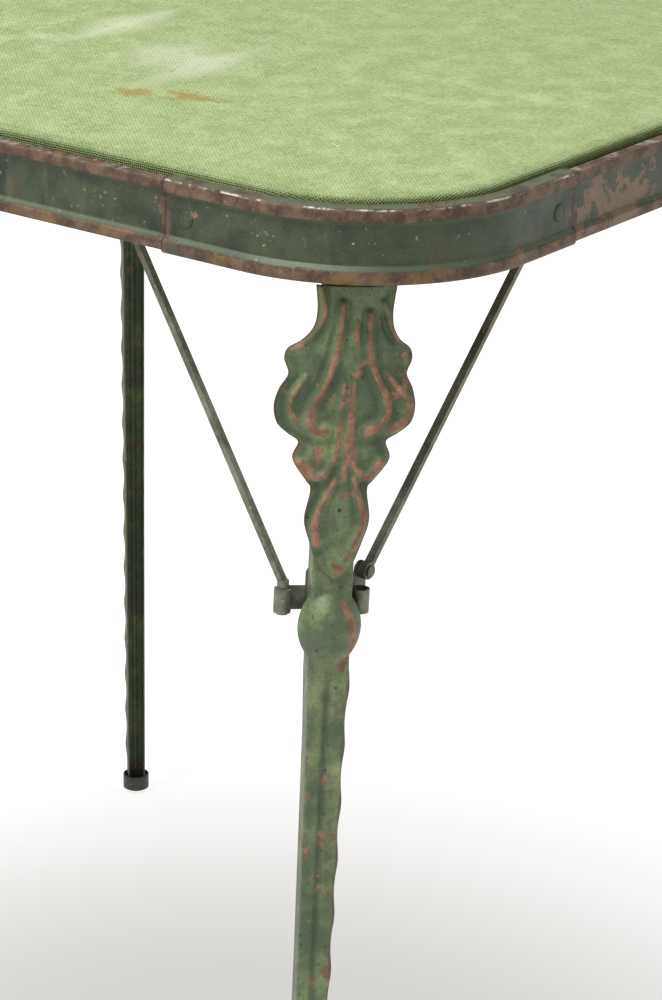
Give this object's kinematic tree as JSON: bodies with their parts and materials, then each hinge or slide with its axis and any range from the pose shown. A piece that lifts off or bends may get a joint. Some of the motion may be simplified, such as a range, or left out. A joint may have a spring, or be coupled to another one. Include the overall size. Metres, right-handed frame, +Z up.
{
  "type": "folding card table",
  "caption": "Square folding card table: cloth-covered panel in a pressed-steel rim with rounded corners, on folding channel legs with leaf plates and channel braces.",
  "frame": {"origin": "on the floor, under the middle of the top", "axes": "+Z up; +X and +Y along two sides of the top"},
  "size_m": [0.762, 0.762, 0.6883],
  "materials": {
    "rim_green": "satin dark green enamel, worn to brown along both beads",
    "leg_green": "satin green enamel with rust-brown worn ridges",
    "hidden_green": "dull green enamel",
    "brace_olive": "worn olive-grey enamel",
    "foot_dark": "dull dark green",
    "rivet_rust": "rusted over old green paint",
    "plain_steel": "dull zinc",
    "cloth": "plain-woven yellow-green cloth",
    "board": "pressed fibre board"
  },
  "bodies": {
    "root": {"panel_board": "board", "fabric_cover": "cloth", "corner_rivets": "rivet_rust", "panel_screws": "plain_steel", "rail_1": "rim_green", "corner_piece_1": "rim_green", "corner_plate_1": "hidden_green", "hinge_pin_1": "plain_steel", "brace_guide_1": "hidden_green", "brace_bracket_1": "hidden_green", "rail_2": "rim_green", "corner_piece_2": "rim_green", "corner_plate_2": "hidden_green", "hinge_pin_2": "plain_steel", "brace_guide_2": "hidden_green", "brace_bracket_2": "hidden_green", "rail_3": "rim_green", "corner_piece_3": "rim_green", "corner_plate_3": "hidden_green", "hinge_pin_3": "plain_steel", "brace_guide_3": "hidden_green", "brace_bracket_3": "hidden_green", "rail_4": "rim_green", "corner_piece_4": "rim_green", "corner_plate_4": "hidden_green", "hinge_pin_4": "plain_steel", "brace_guide_4": "hidden_green", "brace_bracket_4": "hidden_green"},
    "leg_1": {"leg_shell_1": "leg_green", "leaf_plate_1": "leg_green", "hinge_barrel_1": "leg_green", "brace_clip_1": "brace_olive", "side_brace_1": "brace_olive", "foot_glide_1": "foot_dark", "brace_rivet_1": "plain_steel"},
    "folding_brace_1": {"fold_brace_1": "brace_olive"},
    "leg_2": {"leg_shell_2": "leg_green", "leaf_plate_2": "leg_green", "hinge_barrel_2": "leg_green", "brace_clip_2": "brace_olive", "side_brace_2": "brace_olive", "foot_glide_2": "foot_dark", "brace_rivet_2": "plain_steel"},
    "folding_brace_2": {"fold_brace_2": "brace_olive"},
    "leg_3": {"leg_shell_3": "leg_green", "leaf_plate_3": "leg_green", "hinge_barrel_3": "leg_green", "brace_clip_3": "brace_olive", "side_brace_3": "brace_olive", "foot_glide_3": "foot_dark", "brace_rivet_3": "plain_steel"},
    "folding_brace_3": {"fold_brace_3": "brace_olive"},
    "leg_4": {"leg_shell_4": "leg_green", "leaf_plate_4": "leg_green", "hinge_barrel_4": "leg_green", "brace_clip_4": "brace_olive", "side_brace_4": "brace_olive", "foot_glide_4": "foot_dark", "brace_rivet_4": "plain_steel"},
    "folding_brace_4": {"fold_brace_4": "brace_olive"}
  },
  "joints": [
    {"name": "leg_fold_1", "type": "hinge", "parent": "root", "child": "leg_1", "pos_m": [-0.351, -0.331, 0.66015], "axis": [0, -1, 0], "range_deg": [0, 91.75]},
    {"name": "brace_pivot_1", "type": "hinge", "parent": "leg_1", "child": "folding_brace_1", "pos_m": [-0.33904, -0.337, 0.52772], "axis": [0, 1, 0], "range_deg": [0, 137.22]},
    {"name": "leg_fold_2", "type": "hinge", "parent": "root", "child": "leg_2", "pos_m": [0.331, -0.351, 0.66015], "axis": [1, 0, 0], "range_deg": [0, 91.75]},
    {"name": "brace_pivot_2", "type": "hinge", "parent": "leg_2", "child": "folding_brace_2", "pos_m": [0.337, -0.33904, 0.52772], "axis": [-1, 0, 0], "range_deg": [0, 137.22]},
    {"name": "leg_fold_3", "type": "hinge", "parent": "root", "child": "leg_3", "pos_m": [0.351, 0.331, 0.66015], "axis": [0, 1, 0], "range_deg": [0, 91.75]},
    {"name": "brace_pivot_3", "type": "hinge", "parent": "leg_3", "child": "folding_brace_3", "pos_m": [0.33904, 0.337, 0.52772], "axis": [0, -1, 0], "range_deg": [0, 137.22]},
    {"name": "leg_fold_4", "type": "hinge", "parent": "root", "child": "leg_4", "pos_m": [-0.331, 0.351, 0.66015], "axis": [-1, 0, 0], "range_deg": [0, 91.75]},
    {"name": "brace_pivot_4", "type": "hinge", "parent": "leg_4", "child": "folding_brace_4", "pos_m": [-0.337, 0.33904, 0.52772], "axis": [1, 0, 0], "range_deg": [0, 137.22]}
  ],
  "couplings": [
    {"joint": "brace_pivot_1", "follows": "leg_fold_1", "ratio": 1.4955},
    {"joint": "brace_pivot_2", "follows": "leg_fold_2", "ratio": 1.4955},
    {"joint": "brace_pivot_3", "follows": "leg_fold_3", "ratio": 1.4955},
    {"joint": "brace_pivot_4", "follows": "leg_fold_4", "ratio": 1.4955}
  ]
}
